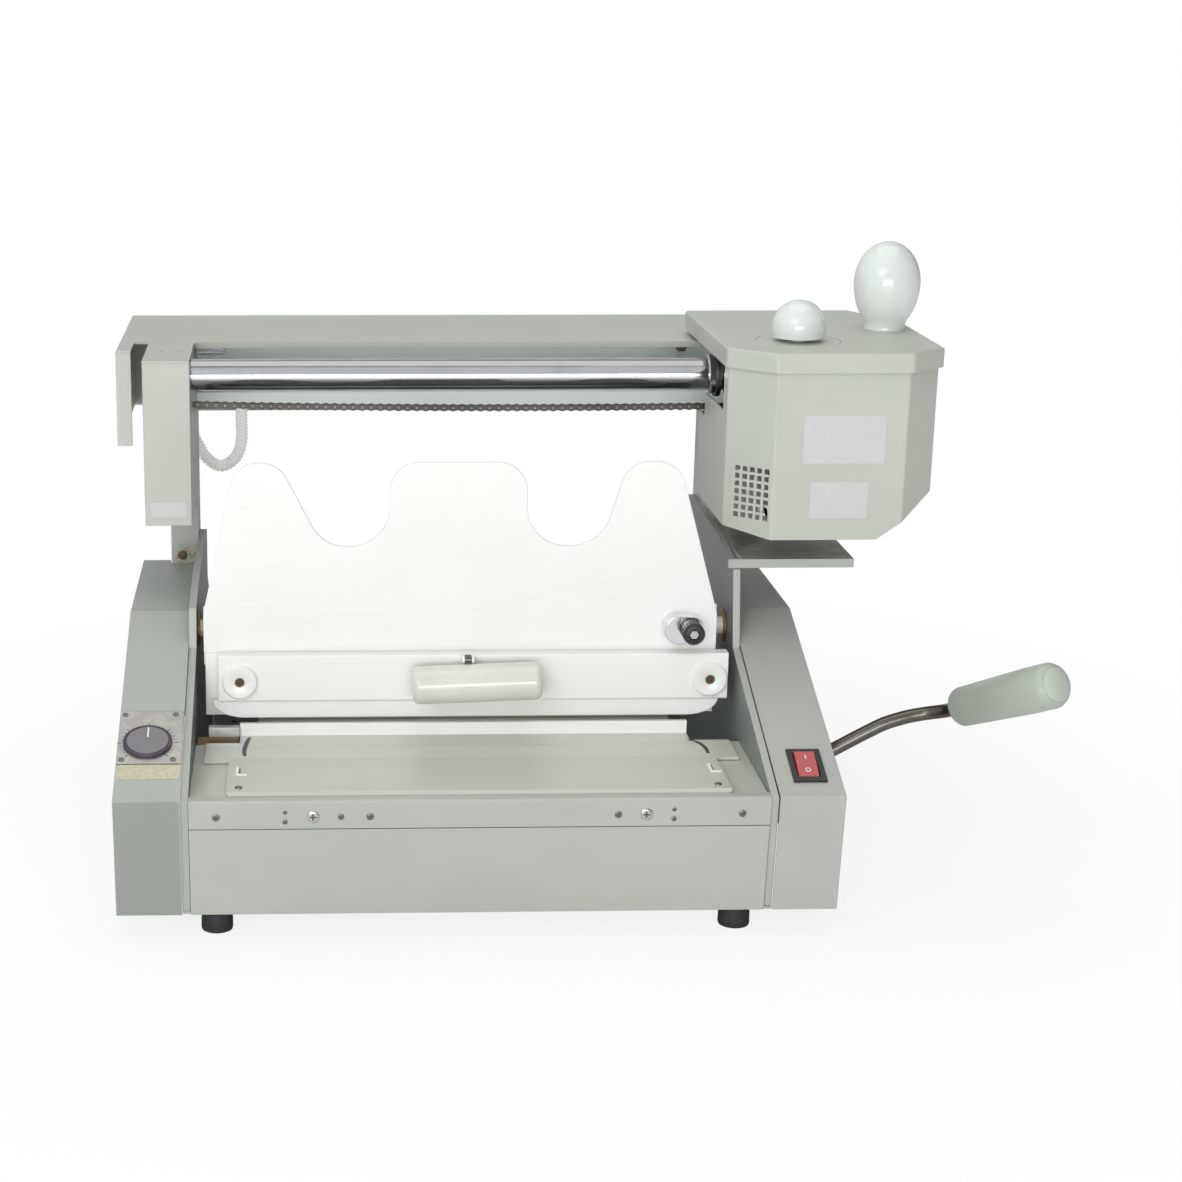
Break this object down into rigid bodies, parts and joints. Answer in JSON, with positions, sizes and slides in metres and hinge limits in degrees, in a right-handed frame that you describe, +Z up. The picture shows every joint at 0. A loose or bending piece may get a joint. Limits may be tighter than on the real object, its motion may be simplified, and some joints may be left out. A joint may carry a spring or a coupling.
{
  "type": "glue binding machine",
  "caption": "Desktop hot-melt glue binding machine with a turning page clamp, a glue box that slides on a rod, a nipping table and a side lever.",
  "frame": {"origin": "centre of the bottom of the bounding box, on the floor under the rubber feet", "axes": "+X to the operator's right along the beam and the page clamp, +Y from the front fold to the back, +Z up"},
  "size_m": [0.6007, 0.432, 0.402],
  "materials": {
    "housing_paint": "fine textured powder coat, warm grey",
    "table_paint": "smooth powder coat, warm grey",
    "clamp_paint": "smooth white powder coat",
    "frame_paint": "dark grey paint",
    "beam_paint": "fine textured powder coat, grey beige",
    "box_paint": "fine textured powder coat, light grey beige",
    "zinc_steel": "zinc plated sheet",
    "ground_rod": "ground and hard chromed bar",
    "dark_steel": "dark machined steel",
    "black_chain": "oiled roller chain",
    "bronze": "sintered bronze",
    "tank_metal": "cast aluminium",
    "copper_sheath": "metal sheathed heating rod",
    "mirror_tray": "polished grey coat",
    "pale_knob": "smooth light grey plastic",
    "grip_plastic": "satin grey green plastic",
    "handle_plastic": "smooth off-white plastic",
    "black_plastic": "black moulded plastic",
    "dial_plastic": "grey moulded plastic",
    "red_plastic": "dark red moulded plastic",
    "rubber": "dark grey rubber",
    "hose_plastic": "light grey corrugated plastic",
    "label_film": "plain pale label film"
  },
  "bodies": {
    "chassis": {"base_plate": "zinc_steel", "rubber_feet": "rubber", "left_frame_plate": "frame_paint", "right_frame_plate": "frame_paint", "left_cover": "housing_paint", "right_cover": "housing_paint", "front_panel": "table_paint", "front_rail": "table_paint", "chassis_screws": "dark_steel", "table_deck": "table_paint", "lay_plate": "table_paint", "rear_nip_jaw": "table_paint", "rear_panel": "housing_paint", "mains_inlet": "black_plastic", "left_upright": "beam_paint", "right_upright": "beam_paint", "beam_channel": "beam_paint", "beam_cover": "beam_paint", "beam_end_cap": "beam_paint", "post_cover": "beam_paint", "guide_rod": "ground_rod", "rod_blocks": "dark_steel", "drive_chain": "black_chain", "conduit_hose": "hose_plastic", "conduit_glands": "hose_plastic", "thermostat_plate": "zinc_steel", "thermostat_body": "black_plastic", "switch_bezel": "black_plastic", "drip_tray": "mirror_tray", "pivot_bushes": "bronze", "lever_bearing": "dark_steel"},
    "carriage": {"box_shell": "box_paint", "box_lid": "box_paint", "carriage_plate": "zinc_steel", "rod_bushes": "bronze", "glue_tank": "tank_metal", "heater_rod": "copper_sheath", "guide_arm": "dark_steel", "drive_belt": "black_plastic", "blank_labels": "label_film", "egg_handle": "pale_knob"},
    "filler": {"filler_cap": "box_paint", "dome_knob": "pale_knob"},
    "roller": {"glue_roller": "tank_metal"},
    "sprocket": {"chain_sprocket": "dark_steel"},
    "clamp_frame": {"clamp_plate": "clamp_paint", "clamp_arms": "clamp_paint", "rear_jaw": "clamp_paint", "guide_bushes": "zinc_steel", "side_stop": "ground_rod"},
    "stop_wheel": {"stop_knob": "black_plastic"},
    "clamp_jaw": {"clamp_bar": "clamp_paint", "front_jaw": "clamp_paint", "guide_pins": "ground_rod"},
    "handle": {"clamp_handle": "handle_plastic"},
    "nip": {"nip_plate": "table_paint"},
    "lever": {"side_lever": "dark_steel", "lever_grip": "grip_plastic"},
    "dial": {"thermostat_dial": "dial_plastic"},
    "rocker": {"power_rocker": "red_plastic"}
  },
  "joints": [
    {"name": "clamp_flip", "type": "hinge", "parent": "chassis", "child": "clamp_frame", "pos_m": [-0.06333, -0.034, 0.15], "axis": [-1, 0, 0], "range_deg": [0, 180]},
    {"name": "clamp_close", "type": "slide", "parent": "clamp_frame", "child": "clamp_jaw", "axis": [0, -1, 0], "range_m": [0, 0.04]},
    {"name": "handle_swing", "type": "hinge", "parent": "clamp_jaw", "child": "handle", "pos_m": [-0.06333, -0.0945, 0.145], "axis": [-1, 0, 0], "range_deg": [0, 110]},
    {"name": "stop_turn", "type": "hinge", "parent": "clamp_frame", "child": "stop_wheel", "pos_m": [0.08387, -0.095, 0.1629], "axis": [0, -1, 0], "continuous": true},
    {"name": "carriage_slide", "type": "slide", "parent": "chassis", "child": "carriage", "axis": [-1, 0, 0], "range_m": [0, 0.352]},
    {"name": "filler_lift", "type": "slide", "parent": "carriage", "child": "filler", "axis": [0, 0, 1], "range_m": [0, 0.05]},
    {"name": "sprocket_spin", "type": "hinge", "parent": "carriage", "child": "sprocket", "pos_m": [0.14267, 0.024, 0.26795], "axis": [0, 1, 0], "range_deg": [0, 1310]},
    {"name": "roller_spin", "type": "hinge", "parent": "carriage", "child": "roller", "pos_m": [0.14267, 0.024, 0.227], "axis": [0, 1, 0], "range_deg": [0, 1310]},
    {"name": "lever_swing", "type": "hinge", "parent": "chassis", "child": "lever", "pos_m": [0.13667, -0.116, 0.07], "axis": [0, 0, -1], "range_deg": [0, 40]},
    {"name": "nip_slide", "type": "slide", "parent": "chassis", "child": "nip", "axis": [0, 1, 0], "range_m": [0, 0.033]},
    {"name": "dial_turn", "type": "hinge", "parent": "chassis", "child": "dial", "pos_m": [-0.26933, -0.16469, 0.11389], "axis": [0, -0.3434, 0.9392], "range_deg": [0, 270]},
    {"name": "rocker_tilt", "type": "hinge", "parent": "chassis", "child": "rocker", "pos_m": [0.14167, -0.18934, 0.10381], "axis": [-1, 0, 0], "range_deg": [0, 13]}
  ],
  "couplings": [
    {"joint": "sprocket_spin", "follows": "carriage_slide", "rad_per_m": 64.516},
    {"joint": "roller_spin", "follows": "carriage_slide", "rad_per_m": 64.516},
    {"joint": "nip_slide", "follows": "lever_swing", "m_per_rad": 0.04726}
  ]
}
